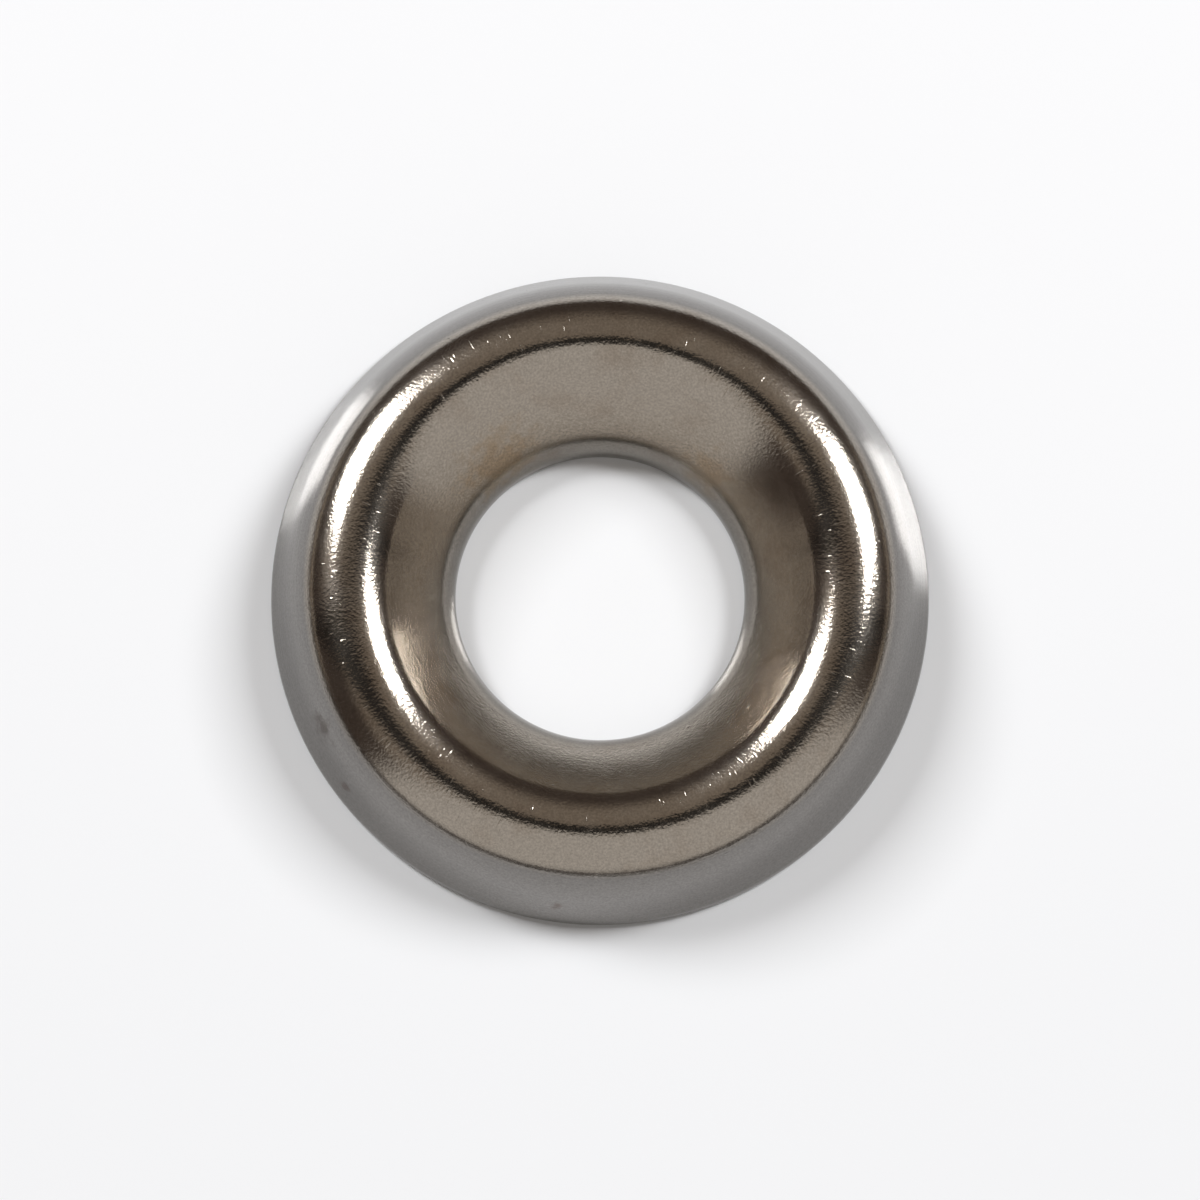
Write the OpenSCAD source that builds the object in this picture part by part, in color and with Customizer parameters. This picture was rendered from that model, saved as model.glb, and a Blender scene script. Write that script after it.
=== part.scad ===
// Finishing cup washer: one ring pressed from sheet metal. The middle is drawn down into a
// conical cup that seats a countersunk screw head, the metal turns over a round crest, and a
// steep skirt comes down to the surface it is screwed to. It is hollow underneath.
// The part sits on its skirt, with the screw's axis on Z and the base plane at Z = 0.

/* [Plan] */
// Widest diameter, at the foot of the skirt
outer_d = 14.3; // [13.8:0.1:16]
// Diameter of the ring along the top of the crest
crest_d = 10.74; // [10.2:0.02:11.2]
// Diameter of the screw hole
hole_d = 6.28; // [5:0.02:7]

/* [Sheet] */
// Thickness of the sheet metal
sheet_t = 0.5; // [0.3:0.05:0.6]
// Rounding of the cut edges, left by tumbling before plating
edge_round = 0.08; // [0.03:0.01:0.09]

/* [Cup] */
// Included angle of the conical cup
cone_angle = 90; // [80:1:100]
// Radius where the cup turns down into the hole, on its upper side
lip_round = 1.1; // [0.9:0.05:1.3]
// Length of the straight wall of the hole
hole_wall = 0.2; // [0.15:0.01:0.4]
// Clearance between the lower edge of the hole and the base plane
hole_lift = 0.03; // [0:0.01:0.3]

/* [Crest and skirt] */
// Radius of the crest's inner half, on its upper side
crest_in_round = 1.17; // [0.9:0.01:1.3]
// Radius of the crest's outer half, on its upper side
crest_out_round = 1.36; // [1.1:0.01:1.5]
// Radius of the foot of the skirt, on its upper side
foot_round = 0.8; // [0.7:0.05:1]
// Height of the upright wall under the foot
rim_wall = 0.1; // [0.1:0.01:0.3]

/* [Hidden] */
$fn = 128;
nickel = "#b4ada4";

outer_r = outer_d / 2;
crest_r = crest_d / 2;
hole_r = hole_d / 2;

// Slope of the cup's wall to the base plane
cone_slope = 90 - cone_angle / 2;

// The lip and the crest leave this much of the way out to the cup's straight wall.
cone_reach = crest_r - hole_r - lip_round * (1 - sin(cone_slope)) - crest_in_round * sin(cone_slope);
cone_len = cone_reach / cos(cone_slope);

// Each stretch of the section adds its own rise on the way up to the crest.
lip_rise = lip_round * cos(cone_slope);
cone_rise = cone_len * sin(cone_slope);
crest_rise = crest_in_round * (1 - cos(cone_slope));
height = hole_lift + hole_wall + lip_rise + cone_rise + crest_rise;

// The skirt touches the circles of the crest's outer half and of the foot.
crest_c = [crest_r, height - crest_out_round];
foot_c = [outer_r - foot_round, rim_wall];
crest_to_foot = foot_c - crest_c;
skirt_facing = atan2(crest_to_foot.y, crest_to_foot.x)
             + acos((crest_out_round - foot_round) / norm(crest_to_foot));
skirt_len = norm(on_circle(foot_c, foot_round, skirt_facing)
               - on_circle(crest_c, crest_out_round, skirt_facing));

// The rim's wall is drawn on past the base plane by this much, to be cut flat there.
rim_spare = sheet_t;

// A rounding's centre lies this far in from each face, a little less than the radius, so the
// rounding meets the faces at a real edge.
edge_in = 0.99 * edge_round;

// Unit vector at an angle from the X axis
function facing(a) = [cos(a), sin(a)];

// Outermost point of a circle in a direction
function on_circle(centre, r, a) = centre + r * facing(a);

// A straight run of the sheet's section, upper side on the left; children carry on from its end
module run(length) {
    square([sheet_t, length]);
    translate([0, length]) children();
}

// A bend of the sheet's section to the right; children carry on from its end
module bend(r, turn) {
    span = 4 * r;
    intersection() {
        translate([r, 0]) circle(r = r);
        translate([r - span / 2, 0]) square([span, span]);
        translate([r, 0]) rotate(-turn) translate([-span / 2, -span]) square([span, span]);
        difference() {
            translate([r - span / 2, -span / 2]) square([span, span]);
            translate([r, 0]) circle(r = r - sheet_t);
        }
    }
    translate([r, 0]) rotate(-turn) translate([-r, 0]) children();
}

// What tumbling takes off a corner of a cut edge, between two facing angles
module corner_off(centre, from, to) {
    reach = 3 * edge_round;
    difference() {
        polygon([
            centre,
            on_circle(centre, reach, from),
            on_circle(centre, reach, (from + to) / 2),
            on_circle(centre, reach, to)
        ]);
        translate(centre) circle(r = edge_round);
    }
}

// Section of the whole sheet, from the hole's lower edge over the crest and past the rim
module sheet() {
    translate([hole_r, hole_lift])
        run(hole_wall)
        bend(lip_round, 90 - cone_slope)
        run(cone_len)
        bend(crest_in_round, cone_slope)
        bend(crest_out_round, 90 - skirt_facing)
        run(skirt_len)
        bend(foot_round, skirt_facing)
        run(rim_wall + rim_spare);
}

// Section of the finished ring: the rim cut on the base plane, all four corners rounded
module section() {
    hole_low = hole_lift + edge_in;
    difference() {
        sheet();
        translate([crest_r, -outer_r]) square([outer_r, outer_r]);
        corner_off([outer_r - edge_in, edge_in], 0, -90);
        corner_off([outer_r - sheet_t + edge_in, edge_in], 180, 270);
        corner_off([hole_r + edge_in, hole_low], 180, 270);
        corner_off([hole_r + sheet_t - edge_in, hole_low], 0, -90);
    }
}

// The pressed ring
module cup_washer() {
    color(nickel) rotate_extrude() section();
}

cup_washer();
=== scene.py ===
"""A finishing cup washer, pressed from sheet steel and nickel plated, on a glossy white table.

The washer is spun from its solid's section, finely enough for a bright metal. Bows in the cup and
the skirt and a tighter foot depart from the solid by up to 0.03 mm. It is dressed with the marks
that pressing, tumbling and plating leave. All lengths in the classes are millimetres and all
angles degrees, unless they say otherwise; the scene is in metres.
"""

import logging
import math
from dataclasses import dataclass, field
from enum import Enum
from typing import Any, Optional

import bpy
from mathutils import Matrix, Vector


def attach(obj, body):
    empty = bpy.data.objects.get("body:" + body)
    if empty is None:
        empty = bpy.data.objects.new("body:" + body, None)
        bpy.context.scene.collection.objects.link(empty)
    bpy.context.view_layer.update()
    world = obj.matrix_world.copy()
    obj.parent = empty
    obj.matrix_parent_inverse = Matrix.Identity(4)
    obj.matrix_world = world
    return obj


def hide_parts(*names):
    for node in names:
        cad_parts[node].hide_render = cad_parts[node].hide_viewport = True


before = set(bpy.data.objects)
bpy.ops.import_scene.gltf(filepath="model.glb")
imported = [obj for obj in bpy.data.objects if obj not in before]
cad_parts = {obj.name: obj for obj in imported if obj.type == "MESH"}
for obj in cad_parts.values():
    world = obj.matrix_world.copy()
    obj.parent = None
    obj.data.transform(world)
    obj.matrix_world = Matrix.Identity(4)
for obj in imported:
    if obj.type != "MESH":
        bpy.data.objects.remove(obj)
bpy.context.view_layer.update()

LOG = logging.getLogger("cup_washer")
MM = 0.001

Point = tuple[float, float]
Place = tuple[float, float, float]
Colour = tuple[float, float, float, float]
Socket = bpy.types.NodeSocket


def linear(hex_code: str) -> Colour:
    """Turns an sRGB hex colour into the linear colour that a shader takes.

    Args:
        hex_code: Six hex digits, with or without a leading hash.

    Returns:
        Linear red, green and blue, and an alpha of one.
    """
    digits = hex_code.lstrip("#")
    channels = [int(digits[i:i + 2], 16) / 255 for i in (0, 2, 4)]
    flat = [c / 12.92 if c <= 0.04045 else ((c + 0.055) / 1.055) ** 2.4 for c in channels]
    return flat[0], flat[1], flat[2], 1.0


def add(tree: bpy.types.NodeTree, kind: str, settings: Optional[dict[str, Any]] = None,
        **inputs: Any) -> bpy.types.Node:
    """Adds a node with its settings, and fills or links its input sockets.

    Args:
        tree: The node tree that gets the node.
        kind: Blender's name for the node type.
        settings: Properties of the node, such as its operation.
        **inputs: Values or output sockets by input name, with _ for a space, or by i and a number.

    Returns:
        The new node.
    """
    node = tree.nodes.new(kind)
    for name, value in (settings or {}).items():
        setattr(node, name, value)
    for name, value in inputs.items():
        numbered = name[1:].isdigit()
        socket = node.inputs[int(name[1:])] if numbered else node.inputs[name.replace("_", " ")]
        if isinstance(value, Socket):
            tree.links.new(value, socket)
        else:
            socket.default_value = value
    return node


class Side(Enum):
    """Which way the sheet lies from a corner of a cut edge: to larger or to smaller radii."""

    OUTWARD = 1
    INWARD = -1


class Angle(Enum):
    """The angles that say where in the room a direction points."""

    LEAN = "from straight up towards the front"
    TURN = "round the washer, from the front to the right"
    RISE = "up from the table"


@dataclass(frozen=True)
class Bend:
    """One arc of the section, by the direction that it faces at each end, in radians."""

    centre: Point
    r: float
    start: float
    end: float

    def points(self, inset: float, steps: int) -> list[Point]:
        """Places points along the arc.

        Args:
            inset: Depth under the upper side of the sheet.
            steps: Number of chords.

        Returns:
            The points, both ends among them.
        """
        r = self.r - inset
        turns = [self.start + (self.end - self.start) * i / steps for i in range(steps + 1)]
        return [(self.centre[0] + r * math.cos(a), self.centre[1] + r * math.sin(a)) for a in turns]

    def onward(self, r: float, end: float) -> "Bend":
        """Carries on from this arc's end, tangent to it.

        Args:
            r: Radius of the next arc.
            end: Direction that the next arc faces at its end, in radians.

        Returns:
            The next arc.
        """
        step = self.r - r
        centre = (self.centre[0] + step * math.cos(self.end), self.centre[1] + step * math.sin(self.end))
        return Bend(centre, r, self.end, end)


@dataclass(frozen=True)
class PressedSection:
    """Half section of the washer: radius from the screw's axis, and height above the table.

    The sheet climbs from the hole round the lip, up the cup and over the crest. Past the crest
    it bends more tightly at the shoulder, bows out slightly down the skirt and ends at the foot.
    """

    outer_d: float = 14.3
    crest_d: float = 10.74
    hole_d: float = 6.28
    sheet_t: float = 0.5
    edge_round: float = 0.08
    cone_angle: float = 90.0
    cone_bow: float = 3.0
    crest_in_round: float = 1.17
    crest_out_round: float = 1.36
    shoulder_from: float = 27.7
    shoulder_round: float = 1.16
    skirt_from: float = 57.5
    skirt_round: float = 3.9
    lip_round: float = 1.1
    foot_round: float = 0.55
    hole_wall: float = 0.2
    hole_lift: float = 0.03
    rim_wall: float = 0.1
    join: float = 1e-6
    longest_chord: float = 0.1
    edge_steps: int = 5
    upper_steps: tuple[int, ...] = (18, 18, 24, 12, 12, 12, 12)
    under_steps: tuple[int, ...] = (6, 6, 10, 5, 5, 5, 5)

    def cup_bends(self) -> list[Bend]:
        """Lays the arcs of the lip, of the cup's wall and of the crest's inner half.

        Returns:
            The arcs, from the hole to the top of the crest.
        """
        middle = 180 - self.cone_angle / 2
        low = math.radians(middle + self.cone_bow / 2)
        top = math.radians(middle - self.cone_bow / 2)
        lip_reach = self.lip_round * (1 + math.cos(low))
        crest_reach = -self.crest_in_round * math.cos(top)
        reach = (self.crest_d - self.hole_d) / 2 - lip_reach - crest_reach
        cup_round = reach / (math.cos(top) - math.cos(low))
        lip_centre = (self.hole_d / 2 + self.lip_round, self.hole_lift + self.hole_wall)
        lip = Bend(lip_centre, self.lip_round, math.pi, low)
        cup = lip.onward(cup_round, top)
        return [lip, cup, cup.onward(self.crest_in_round, math.pi / 2)]

    @property
    def height(self) -> float:
        """Height of the crest above the table."""
        crest = self.cup_bends()[-1]
        return crest.centre[1] + crest.r

    def skirt_bends(self) -> list[Bend]:
        """Lays the arcs of the crest's outer half, the shoulder, the skirt and the foot.

        The skirt's bow and the foot are joined by the straight line that touches both circles.

        Returns:
            The arcs, from the top of the crest to the rim.
        """
        shoulder_facing = math.radians(90 - self.shoulder_from)
        skirt_facing = math.radians(90 - self.skirt_from)
        crest_centre = (self.crest_d / 2, self.height - self.crest_out_round)
        crest = Bend(crest_centre, self.crest_out_round, math.pi / 2, shoulder_facing)
        shoulder = crest.onward(self.shoulder_round, skirt_facing)
        bow = shoulder.onward(self.skirt_round, skirt_facing)
        foot = (self.outer_d / 2 - self.foot_round, self.rim_wall)
        dx, dy = foot[0] - bow.centre[0], foot[1] - bow.centre[1]
        facing = math.atan2(dy, dx) + math.acos((bow.r - self.foot_round) / math.hypot(dx, dy))
        return [crest, shoulder, shoulder.onward(self.skirt_round, facing),
                Bend(foot, self.foot_round, facing, 0.0)]

    def face(self, inset: float, steps: tuple[int, ...]) -> list[Point]:
        """Draws one side of the sheet, from the hole to the rim, without its cut ends.

        Args:
            inset: Depth under the upper side.
            steps: Chords of each bend, from the lip to the foot.

        Returns:
            The side's points.
        """
        points: list[Point] = []
        for bend, chords in zip(self.cup_bends() + self.skirt_bends(), steps):
            arc = bend.points(inset, chords)
            joined = bool(points) and math.dist(points[-1], arc[0]) < self.join
            points += arc[1:] if joined else arc
        return points

    def cut_end(self, r: float, z: float, side: Side) -> list[Point]:
        """Rounds a corner of a cut edge that faces down.

        Args:
            r: Radius of the sheet's side at the cut.
            z: Height of the cut.
            side: Which way the sheet lies from r.

        Returns:
            The corner's points, from the side to the cut.
        """
        e = self.edge_round
        start = math.pi if side is Side.OUTWARD else 2 * math.pi
        return Bend((r + side.value * e, z + e), e, start, 1.5 * math.pi).points(0.0, self.edge_steps)

    def fill(self, points: list[Point]) -> list[Point]:
        """Splits the long chords of a line of points.

        Args:
            points: The line's points.

        Returns:
            The points with the new ones between them.
        """
        out = points[:1]
        for a, b in zip(points, points[1:]):
            pieces = max(1, math.ceil(math.dist(a, b) / self.longest_chord))
            out += [(a[0] + (b[0] - a[0]) * k / pieces, a[1] + (b[1] - a[1]) * k / pieces)
                    for k in range(1, pieces + 1)]
        return out

    def outline(self) -> list[Point]:
        """Draws the whole section as one closed loop.

        Returns:
            The loop's points, the first one not repeated.
        """
        hole, rim, t = self.hole_d / 2, self.outer_d / 2, self.sheet_t
        loop = self.cut_end(hole, self.hole_lift, Side.OUTWARD)[::-1]
        loop += self.face(0.0, self.upper_steps)
        loop += self.cut_end(rim, 0.0, Side.INWARD)
        loop += self.cut_end(rim - t, 0.0, Side.OUTWARD)[::-1]
        loop += self.face(t, self.under_steps)[::-1]
        loop += self.cut_end(hole + t, self.hole_lift, Side.INWARD)
        return self.fill(loop + loop[:1])[:-1]


@dataclass(frozen=True)
class SpunPlace:
    """Where a point of the washer lies, as sockets of a node tree, in millimetres."""

    mm: Socket
    out: Socket
    way: Socket
    rise: Socket


@dataclass(frozen=True)
class Stain:
    """A small tarnished or rusty place in the plating, round a point of the washer."""

    colour: str
    at_mm: Place
    wide_mm: float
    share: float


@dataclass(frozen=True)
class NickelPlate:
    """Bright nickel plated over pressed and tumbled steel.

    Nickel gives the eye a warm grey mirror. Tumbling leaves it mottled along the crest, the die
    draws fine rings on the skirt, and handling adds nicks and specks. The skirt and the lip are
    painted darker: a painted reflection of a darker table that would show in them, not a tone of
    the plating. The length of a noise is the size of its grains, and its levels are where a mark
    begins and where it is full.
    """

    metal: str = "#d3cbc0"
    tarnish: str = "#c0b3a5"
    tarnish_mm: float = 1.1111
    tarnish_levels: tuple[float, float] = (0.5, 0.85)
    # Painted reflection: this darker grey on the skirt stands in for a darker table mirrored there; the
    # plating itself is no darker.
    skirt: str = "#817e7b"
    skirt_from_mm: float = 6.2
    skirt_to_mm: float = 6.45
    lip_from_mm: float = 3.58
    lip_to_mm: float = 3.26
    # Painted reflection: the lip's colour is scaled down towards the hole, standing in for a darker table
    # mirrored in it.
    lip_painted_reflection: float = 0.28
    stains: tuple[Stain, ...] = (
        Stain("#c2a47a", (-2.1, 2.75, 1.1), 1.2, 0.45),
        Stain("#c2a47a", (2.4, 2.6, 0.95), 0.8, 0.35),
        Stain("#3f3229", (-5.95, -3.0, 1.35), 0.45, 0.6),
        Stain("#4d3428", (-0.9, -6.85, 0.9), 0.22, 0.5),
        Stain("#4d3428", (-5.5, -4.2, 0.8), 0.2, 0.5),
    )
    stain_core: float = 0.1
    ragged_mm: float = 0.3
    # The plating's real grain is under a hundredth of a millimetre. A picture of the whole washer
    # can't hold that, so the grain is drawn several times coarser.
    grain_mm: float = 0.05
    grain_levels: tuple[float, float] = (0.3, 0.7)
    grain_share: float = 0.14
    roughness: float = 0.15
    haze_mm: float = 0.6667
    haze_levels: tuple[float, float] = (0.3, 0.75)
    haze_share: float = 0.15
    worn_from_mm: float = 4.7
    worn: float = 1.5
    crest_mm: float = 5.37
    crest_wide_mm: float = 1.1
    crest_core: float = 0.4
    off_crest: float = 0.12
    # Tumbling and the die leave marks of a few hundredths of a millimetre or less. Peel, dashes,
    # rings and nicks are drawn about twice as coarse as that, to show at all.
    peel_mm: float = 0.062
    peel_deep_mm: float = 0.004
    peel_off_crest: float = 0.55
    dash_mm: float = 0.06
    dash_long_mm: float = 0.09
    dash_deep_mm: float = 0.0018
    ring_mm: float = 0.08
    ring_turns: float = 1.5
    ring_deep_mm: float = 0.0035
    nick_mm: float = 0.04
    nick_long_mm: float = 0.28
    nick_levels: tuple[float, float] = (0.73, 0.82)
    nick_deep_mm: float = 0.0014
    speck_mm: float = 0.16
    speck_levels: tuple[float, float] = (0.74, 0.86)
    speck_deep_mm: float = 0.003

    def place(self, tree: bpy.types.NodeTree) -> SpunPlace:
        """Works out where on the washer a shaded point lies.

        Args:
            tree: The material's node tree.

        Returns:
            The point, its distance and direction from the axis, and its height.
        """
        spot = add(tree, "ShaderNodeTexCoord").outputs["Object"]
        mm = add(tree, "ShaderNodeVectorMath", {"operation": "SCALE"}, i0=spot, Scale=1 / MM).outputs[0]
        flat = add(tree, "ShaderNodeVectorMath", {"operation": "MULTIPLY"}, i0=mm, i1=(1.0, 1.0, 0.0))
        out = add(tree, "ShaderNodeVectorMath", {"operation": "LENGTH"}, i0=flat.outputs[0])
        way = add(tree, "ShaderNodeVectorMath", {"operation": "NORMALIZE"}, i0=flat.outputs[0])
        rise = add(tree, "ShaderNodeSeparateXYZ", Vector=mm)
        return SpunPlace(mm, out.outputs["Value"], way.outputs[0], rise.outputs[2])

    def streaks(self, tree: bpy.types.NodeTree, at: SpunPlace, around: float, along: float,
                detail: float) -> Socket:
        """Makes noise with its own scale round the axis and along the section, without a seam.

        Args:
            tree: The material's node tree.
            at: Where the point lies.
            around: Scale round the axis, for a ring of radius one.
            along: Scale along the section, for each millimetre.
            detail: Finer layers of the noise.

        Returns:
            The noise, from nought to one.
        """
        turn = add(tree, "ShaderNodeVectorMath", {"operation": "SCALE"}, i0=at.way, Scale=around)
        reach = add(tree, "ShaderNodeMath", {"operation": "MULTIPLY"}, i0=at.out, i1=along)
        drop = add(tree, "ShaderNodeMath", {"operation": "MULTIPLY"}, i0=at.rise, i1=along)
        lift = add(tree, "ShaderNodeCombineXYZ", Z=reach.outputs[0])
        spot = add(tree, "ShaderNodeVectorMath", {"operation": "ADD"}, i0=turn.outputs[0],
                   i1=lift.outputs[0])
        noise = add(tree, "ShaderNodeTexNoise", {"noise_dimensions": "4D"}, Vector=spot.outputs[0],
                    W=drop.outputs[0], Scale=1.0, Detail=detail)
        return noise.outputs["Fac"]

    def tone(self, tree: bpy.types.NodeTree, at: SpunPlace, on_skirt: Socket) -> Socket:
        """Colours the plating: tarnish, the skirt and lip painted darker as a painted reflection of
        a darker table, stains and grain.

        Args:
            tree: The material's node tree.
            at: Where the point lies.
            on_skirt: One on the skirt, nought elsewhere.

        Returns:
            The metal's colour.
        """
        blend = {"data_type": "RGBA"}
        soft = {"interpolation_type": "SMOOTHSTEP"}
        cloud = add(tree, "ShaderNodeTexNoise", Vector=at.mm, Scale=1 / self.tarnish_mm, Detail=5.0,
                    Roughness=0.65)
        cover = add(tree, "ShaderNodeMapRange", Value=cloud.outputs["Fac"],
                    From_Min=self.tarnish_levels[0], From_Max=self.tarnish_levels[1])
        colour = add(tree, "ShaderNodeMix", blend, i0=cover.outputs[0], i6=linear(self.metal),
                     i7=linear(self.tarnish)).outputs[2]
        # Painted reflection: the skirt takes the darker grey that a darker table would show in it.
        colour = add(tree, "ShaderNodeMix", blend, i0=on_skirt, i6=colour, i7=linear(self.skirt)).outputs[2]
        ragged = add(tree, "ShaderNodeTexNoise", Vector=at.mm, Scale=1 / self.ragged_mm, Detail=4.0)
        for stain in self.stains:
            apart = add(tree, "ShaderNodeVectorMath", {"operation": "DISTANCE"}, i0=at.mm, i1=stain.at_mm)
            wander = add(tree, "ShaderNodeMapRange", {"clamp": False}, Value=ragged.outputs["Fac"],
                         To_Min=-stain.wide_mm, To_Max=stain.wide_mm)
            reach = add(tree, "ShaderNodeMath", {"operation": "ADD"}, i0=apart.outputs["Value"],
                        i1=wander.outputs[0])
            patch = add(tree, "ShaderNodeMapRange", soft, Value=reach.outputs[0], From_Min=stain.wide_mm,
                        From_Max=stain.wide_mm * self.stain_core, To_Max=stain.share)
            colour = add(tree, "ShaderNodeMix", blend, i0=patch.outputs[0], i6=colour,
                         i7=linear(stain.colour)).outputs[2]
        # Painted reflection: the lip darkens towards the hole, as a darker table mirrored in it would.
        lip = add(tree, "ShaderNodeMapRange", soft, Value=at.out, From_Min=self.lip_to_mm,
                  From_Max=self.lip_from_mm, To_Min=self.lip_painted_reflection, To_Max=1.0)
        grain = add(tree, "ShaderNodeTexNoise", Vector=at.mm, Scale=1 / self.grain_mm, Detail=2.0)
        fleck = add(tree, "ShaderNodeMapRange", Value=grain.outputs["Fac"],
                    From_Min=self.grain_levels[0], From_Max=self.grain_levels[1],
                    To_Min=1 - self.grain_share, To_Max=1 + self.grain_share)
        shade = add(tree, "ShaderNodeMath", {"operation": "MULTIPLY"}, i0=lip.outputs[0],
                    i1=fleck.outputs[0])
        return add(tree, "ShaderNodeVectorMath", {"operation": "SCALE"}, i0=colour,
                   Scale=shade.outputs[0]).outputs[0]

    def sheen(self, tree: bpy.types.NodeTree, at: SpunPlace) -> Socket:
        """Sets how sharply the plating mirrors: hazy in places, and duller down the cup.

        Args:
            tree: The material's node tree.
            at: Where the point lies.

        Returns:
            The roughness.
        """
        cloud = add(tree, "ShaderNodeTexNoise", Vector=at.mm, Scale=1 / self.haze_mm, Detail=5.0,
                    Roughness=0.65)
        haze = add(tree, "ShaderNodeMapRange", Value=cloud.outputs["Fac"],
                   From_Min=self.haze_levels[0], From_Max=self.haze_levels[1],
                   To_Min=self.roughness * (1 - self.haze_share),
                   To_Max=self.roughness * (1 + self.haze_share))
        worn = add(tree, "ShaderNodeMapRange", {"interpolation_type": "SMOOTHSTEP"}, Value=at.out,
                   From_Min=self.lip_to_mm, From_Max=self.worn_from_mm, To_Min=self.worn, To_Max=1.0)
        return add(tree, "ShaderNodeMath", {"operation": "MULTIPLY"}, i0=haze.outputs[0],
                   i1=worn.outputs[0]).outputs[0]

    def relief(self, tree: bpy.types.NodeTree, at: SpunPlace, on_skirt: Socket) -> Socket:
        """Raises the fine marks: peel, dashes and nicks on the crest, rings on the skirt, specks.

        Args:
            tree: The material's node tree.
            at: Where the point lies.
            on_skirt: One on the skirt, nought elsewhere.

        Returns:
            The bumped normal.
        """
        off = add(tree, "ShaderNodeMath", {"operation": "SUBTRACT"}, i0=at.out, i1=self.crest_mm)
        away = add(tree, "ShaderNodeMath", {"operation": "ABSOLUTE"}, i0=off.outputs[0])
        on_crest = add(tree, "ShaderNodeMapRange", {"interpolation_type": "SMOOTHSTEP"},
                       Value=away.outputs[0], From_Min=self.crest_wide_mm,
                       From_Max=self.crest_wide_mm * self.crest_core, To_Min=self.off_crest).outputs[0]
        peeled = add(tree, "ShaderNodeMapRange", Value=on_crest, From_Min=self.off_crest,
                     To_Min=self.peel_off_crest).outputs[0]
        peel = add(tree, "ShaderNodeTexNoise", Vector=at.mm, Scale=1 / self.peel_mm, Detail=2.0)
        dash = self.streaks(tree, at, self.crest_mm / self.dash_mm, 1 / self.dash_long_mm, 2.0)
        rings = self.streaks(tree, at, self.ring_turns, 1 / self.ring_mm, 2.0)
        scratch = self.streaks(tree, at, self.crest_mm / self.nick_mm, 1 / self.nick_long_mm, 0.0)
        nick = add(tree, "ShaderNodeMapRange", Value=scratch, From_Min=self.nick_levels[0],
                   From_Max=self.nick_levels[1])
        dust = add(tree, "ShaderNodeTexNoise", Vector=at.mm, Scale=1 / self.speck_mm, Detail=1.0)
        speck = add(tree, "ShaderNodeMapRange", Value=dust.outputs["Fac"], From_Min=self.speck_levels[0],
                    From_Max=self.speck_levels[1])
        marks = (
            (peel.outputs["Fac"], self.peel_deep_mm, peeled),
            (dash, self.dash_deep_mm, on_crest),
            (rings, self.ring_deep_mm, on_skirt),
            (nick.outputs[0], self.nick_deep_mm, on_crest),
            (speck.outputs[0], self.speck_deep_mm, 1.0),
        )
        normal: Optional[Socket] = None
        for height, deep, share in marks:
            under = {"Normal": normal} if normal else {}
            normal = add(tree, "ShaderNodeBump", Strength=share, Distance=deep * MM, Height=height,
                         **under).outputs[0]
        return normal

    def build(self, name: str) -> bpy.types.Material:
        """Makes the material.

        Args:
            name: Name of the material.

        Returns:
            The material, ready to go on a mesh that is in metres.
        """
        material = bpy.data.materials.new(name)
        material.use_nodes = True
        tree = material.node_tree
        tree.nodes.clear()
        at = self.place(tree)
        on_skirt = add(tree, "ShaderNodeMapRange", {"interpolation_type": "SMOOTHSTEP"}, Value=at.out,
                       From_Min=self.skirt_from_mm, From_Max=self.skirt_to_mm).outputs[0]
        shader = add(tree, "ShaderNodeBsdfPrincipled", Base_Color=self.tone(tree, at, on_skirt),
                     Metallic=1.0, Roughness=self.sheen(tree, at), Normal=self.relief(tree, at, on_skirt))
        add(tree, "ShaderNodeOutputMaterial", Surface=shader.outputs[0])
        return material


@dataclass
class CupWasher:
    """The pressed washer: its section spun about the screw's axis, and its plating."""

    section: PressedSection = field(default_factory=PressedSection)
    finish: NickelPlate = field(default_factory=NickelPlate)
    segments: int = 360

    def build(self) -> bpy.types.Object:
        """Spins the section into one closed mesh.

        Returns:
            The washer, in the scene.
        """
        loop = self.section.outline()
        turns = [2 * math.pi * i / self.segments for i in range(self.segments)]
        points = [(r * math.cos(a) * MM, r * math.sin(a) * MM, z * MM) for a in turns for r, z in loop]
        n = len(loop)
        faces = []
        for i in range(self.segments):
            here, there = i * n, (i + 1) % self.segments * n
            faces += [(here + k, there + k, there + (k + 1) % n, here + (k + 1) % n) for k in range(n)]
        mesh = bpy.data.meshes.new("cup_washer_plated")
        mesh.from_pydata(points, [], faces)
        mesh.polygons.foreach_set("use_smooth", [True] * len(mesh.polygons))
        mesh.update()
        washer = bpy.data.objects.new("cup_washer_plated", mesh)
        bpy.context.scene.collection.objects.link(washer)
        return washer

    def dress(self, washer: bpy.types.Object) -> None:
        """Plates the washer and ties it to the solid that it stands for.

        Args:
            washer: The mesh from build.
        """
        washer.data.materials.append(self.finish.build("nickel_plate_over_pressed_steel"))
        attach(washer, "root")
        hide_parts("cup_washer")


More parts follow.
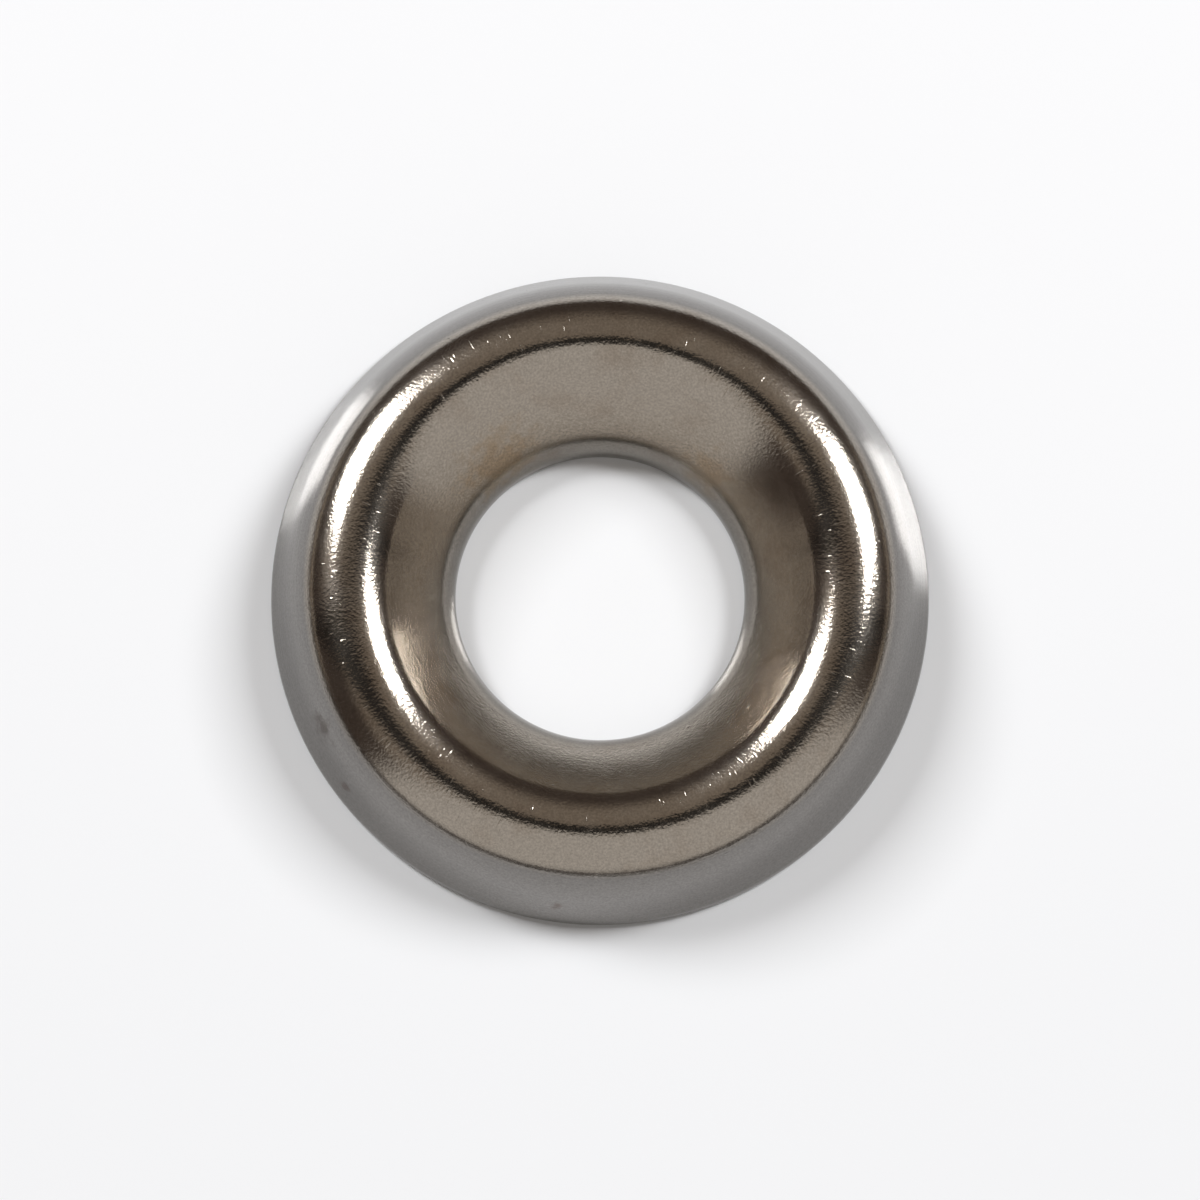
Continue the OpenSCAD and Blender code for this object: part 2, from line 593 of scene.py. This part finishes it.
@dataclass(frozen=True)
class GlossyLaminate:
    """White laminate table top, pressed against a polished plate: it mirrors the lamps faintly."""

    colour: str = "#f7f9fc"
    roughness: float = 0.1
    ior: float = 1.9
    peel_mm: float = 2.5
    peel_deep_mm: float = 0.002
    peel_share: float = 0.05

    def build(self, name: str) -> bpy.types.Material:
        """Makes the material.

        Args:
            name: Name of the material.

        Returns:
            The material.
        """
        material = bpy.data.materials.new(name)
        material.use_nodes = True
        tree = material.node_tree
        tree.nodes.clear()
        spot = add(tree, "ShaderNodeTexCoord").outputs["Object"]
        peel = add(tree, "ShaderNodeTexNoise", Vector=spot, Scale=1 / (self.peel_mm * MM), Detail=1.0)
        bump = add(tree, "ShaderNodeBump", Strength=self.peel_share, Distance=self.peel_deep_mm * MM,
                   Height=peel.outputs["Fac"])
        shader = add(tree, "ShaderNodeBsdfPrincipled", Base_Color=linear(self.colour),
                     Roughness=self.roughness, IOR=self.ior, Normal=bump.outputs[0])
        add(tree, "ShaderNodeOutputMaterial", Surface=shader.outputs[0])
        return material


@dataclass
class Table:
    """The table that the washer lies on, a hair's breadth under its base plane."""

    width: float = 4000.0
    drop: float = 0.002
    finish: GlossyLaminate = field(default_factory=GlossyLaminate)

    def build(self) -> bpy.types.Object:
        """Lays the table top.

        Returns:
            The table top.
        """
        h = self.width / 2 * MM
        mesh = bpy.data.meshes.new("table_top")
        mesh.from_pydata([(-h, -h, 0), (h, -h, 0), (h, h, 0), (-h, h, 0)], [], [(0, 1, 2, 3)])
        table = bpy.data.objects.new("table_top", mesh)
        table.location.z = -self.drop * MM
        table.data.materials.append(self.finish.build("glossy_white_laminate"))
        bpy.context.scene.collection.objects.link(table)
        return table


@dataclass(frozen=True)
class Softbox:
    """An oblong soft lamp that faces the washer from behind and above."""

    name: str
    azimuth: float
    elevation: float
    distance: float = 500.0
    across: float = 130.0
    upright: float = 195.0
    radiance: float = 21.2

    def build(self) -> bpy.types.Object:
        """Hangs the lamp.

        Returns:
            The lamp, in the scene.
        """
        a, e = math.radians(self.azimuth), math.radians(self.elevation)
        way = Vector((math.cos(a) * math.cos(e), math.sin(a) * math.cos(e), math.sin(e)))
        data = bpy.data.lights.new(self.name, "AREA")
        data.shape = "RECTANGLE"
        data.size, data.size_y = self.across * MM, self.upright * MM
        data.energy = self.radiance * math.pi * data.size * data.size_y
        lamp = bpy.data.objects.new(self.name, data)
        lamp.location = way * self.distance * MM
        lamp.rotation_mode = "QUATERNION"
        lamp.rotation_quaternion = (-way).to_track_quat("-Z", "Y")
        bpy.context.scene.collection.objects.link(lamp)
        return lamp


@dataclass(frozen=True)
class Span:
    """Stretch of one angle that a patch of the room covers, with soft ends; it may be open."""

    angle: Angle
    start: float
    end: Optional[float]
    blur: float


@dataclass(frozen=True)
class RoomPatch:
    """A patch of the room in one colour, where all its spans meet."""

    colour: str
    spans: tuple[Span, ...]


@dataclass
class Room:
    """The dim room round the table, as the metal mirrors it.

    A brown board hangs over the table. It ends at the camera's slot, and in front of that the
    room is light. Low down, behind and beside the table, it is dark.
    """

    board: str = "#73695f"
    wall: str = "#847b71"
    dark: str = "#3e3631"
    slot: str = "#0f0d0b"
    light: str = "#ada9a5"

    def patches(self) -> tuple[RoomPatch, ...]:
        """Lists what hangs and stands round the table, each patch over the ones before it.

        Returns:
            The board overhead, the low walls, the dark gaps beside the light front, the slot that
            the camera looks through, and the light front itself.
        """
        low = Span(Angle.RISE, 4.0, 10.0, 5.0)
        gap = Span(Angle.RISE, 20.0, 50.0, 22.0)
        front = (
            Span(Angle.LEAN, 5.0, None, 3.0),
            Span(Angle.RISE, 5.0, None, 6.0),
            Span(Angle.TURN, -57.0, 72.0, 13.0),
        )
        return (
            RoomPatch(self.board, (Span(Angle.RISE, 36.0, None, 36.0),)),
            RoomPatch(self.wall, (low, Span(Angle.TURN, -125.0, -82.0, 16.0))),
            RoomPatch(self.wall, (low, Span(Angle.TURN, 66.0, 125.0, 16.0))),
            RoomPatch(self.dark, (gap, Span(Angle.TURN, -95.0, -57.0, 14.0))),
            RoomPatch(self.dark, (gap, Span(Angle.TURN, 72.0, 86.0, 14.0))),
            RoomPatch(self.slot, (Span(Angle.LEAN, -10.0, 4.0, 3.0),)),
            RoomPatch(self.light, front),
        )

    def angles(self, tree: bpy.types.NodeTree) -> dict[Angle, Socket]:
        """Works out the angles of the direction that a ray leaves in.

        Args:
            tree: The world's node tree.

        Returns:
            Each angle's socket, in radians.
        """
        way = add(tree, "ShaderNodeTexCoord").outputs["Generated"]
        x, y, z = add(tree, "ShaderNodeSeparateXYZ", Vector=way).outputs
        ahead = add(tree, "ShaderNodeMath", {"operation": "MULTIPLY"}, i0=y, i1=-1.0).outputs[0]
        return {
            Angle.RISE: add(tree, "ShaderNodeMath", {"operation": "ARCSINE"}, i0=z).outputs[0],
            Angle.LEAN: add(tree, "ShaderNodeMath", {"operation": "ARCTAN2"}, i0=ahead, i1=z).outputs[0],
            Angle.TURN: add(tree, "ShaderNodeMath", {"operation": "ARCTAN2"}, i0=x, i1=ahead).outputs[0],
        }

    def cover(self, tree: bpy.types.NodeTree, patch: RoomPatch, angles: dict[Angle, Socket]) -> Socket:
        """Masks the part of the room that a patch covers.

        Args:
            tree: The world's node tree.
            patch: The patch.
            angles: Each angle's socket.

        Returns:
            One inside the patch, nought outside, with soft edges.
        """
        mask: Optional[Socket] = None
        for span in patch.spans:
            past = []
            for limit in (span.start, span.end):
                if limit is not None:
                    ramp = add(tree, "ShaderNodeMapRange", {"interpolation_type": "SMOOTHSTEP"},
                               Value=angles[span.angle], From_Min=math.radians(limit - span.blur / 2),
                               From_Max=math.radians(limit + span.blur / 2))
                    past.append(ramp.outputs[0])
            inside = past[0]
            if len(past) > 1:
                inside = add(tree, "ShaderNodeMath", {"operation": "SUBTRACT", "use_clamp": True},
                             i0=past[0], i1=past[1]).outputs[0]
            if mask:
                inside = add(tree, "ShaderNodeMath", {"operation": "MULTIPLY"}, i0=mask,
                             i1=inside).outputs[0]
            mask = inside
        return mask

    def build(self) -> bpy.types.World:
        """Paints the room as the scene's world.

        Returns:
            The world.
        """
        world = bpy.data.worlds.new("dim_room")
        bpy.context.scene.world = world
        world.use_nodes = True
        tree = world.node_tree
        tree.nodes.clear()
        angles = self.angles(tree)
        paint: Any = linear(self.dark)
        for patch in self.patches():
            paint = add(tree, "ShaderNodeMix", {"data_type": "RGBA"}, i0=self.cover(tree, patch, angles),
                        i6=paint, i7=linear(patch.colour)).outputs[2]
        shine = add(tree, "ShaderNodeBackground", Color=paint, Strength=1.0)
        add(tree, "ShaderNodeOutputWorld", Surface=shine.outputs[0])
        return world


@dataclass
class StandCamera:
    """The camera on its stand, in front of the table and almost over the washer."""

    elevation: float = 80.0
    distance: float = 220.0
    frame_mm: float = 26.1
    sensor: float = 36.0
    sees_from: float = 10.0
    sees_to: float = 10000.0

    def build(self) -> bpy.types.Object:
        """Sets the camera up and makes it the scene's.

        Returns:
            The camera.
        """
        e = math.radians(self.elevation)
        back = Vector((0.0, -math.cos(e), math.sin(e)))
        data = bpy.data.cameras.new("stand_camera")
        data.sensor_width = self.sensor
        data.lens = self.sensor * self.distance / self.frame_mm
        data.clip_start, data.clip_end = self.sees_from * MM, self.sees_to * MM
        camera = bpy.data.objects.new("stand_camera", data)
        camera.location = back * self.distance * MM
        camera.rotation_mode = "QUATERNION"
        camera.rotation_quaternion = (-back).to_track_quat("-Z", "Y")
        bpy.context.scene.collection.objects.link(camera)
        bpy.context.scene.camera = camera
        return camera


def main() -> None:
    """Builds the washer and its stage, piece by piece."""
    logging.basicConfig(level=logging.INFO, format="%(name)s: %(message)s")
    washer = CupWasher()
    piece = washer.build()
    washer.dress(piece)
    LOG.info("washer: %d faces, %.2f mm high", len(piece.data.polygons), washer.section.height)
    LOG.info("table: %s", Table().build().name)
    for lamp in (Softbox("left_softbox", 140.0, 41.5), Softbox("right_softbox", 30.0, 44.5)):
        LOG.info("lamp: %s", lamp.build().name)
    LOG.info("room: %s", Room().build().name)
    LOG.info("camera: %s", StandCamera().build().name)
    bpy.context.scene.view_settings.view_transform = "Standard"


if __name__ == "__main__":
    main()
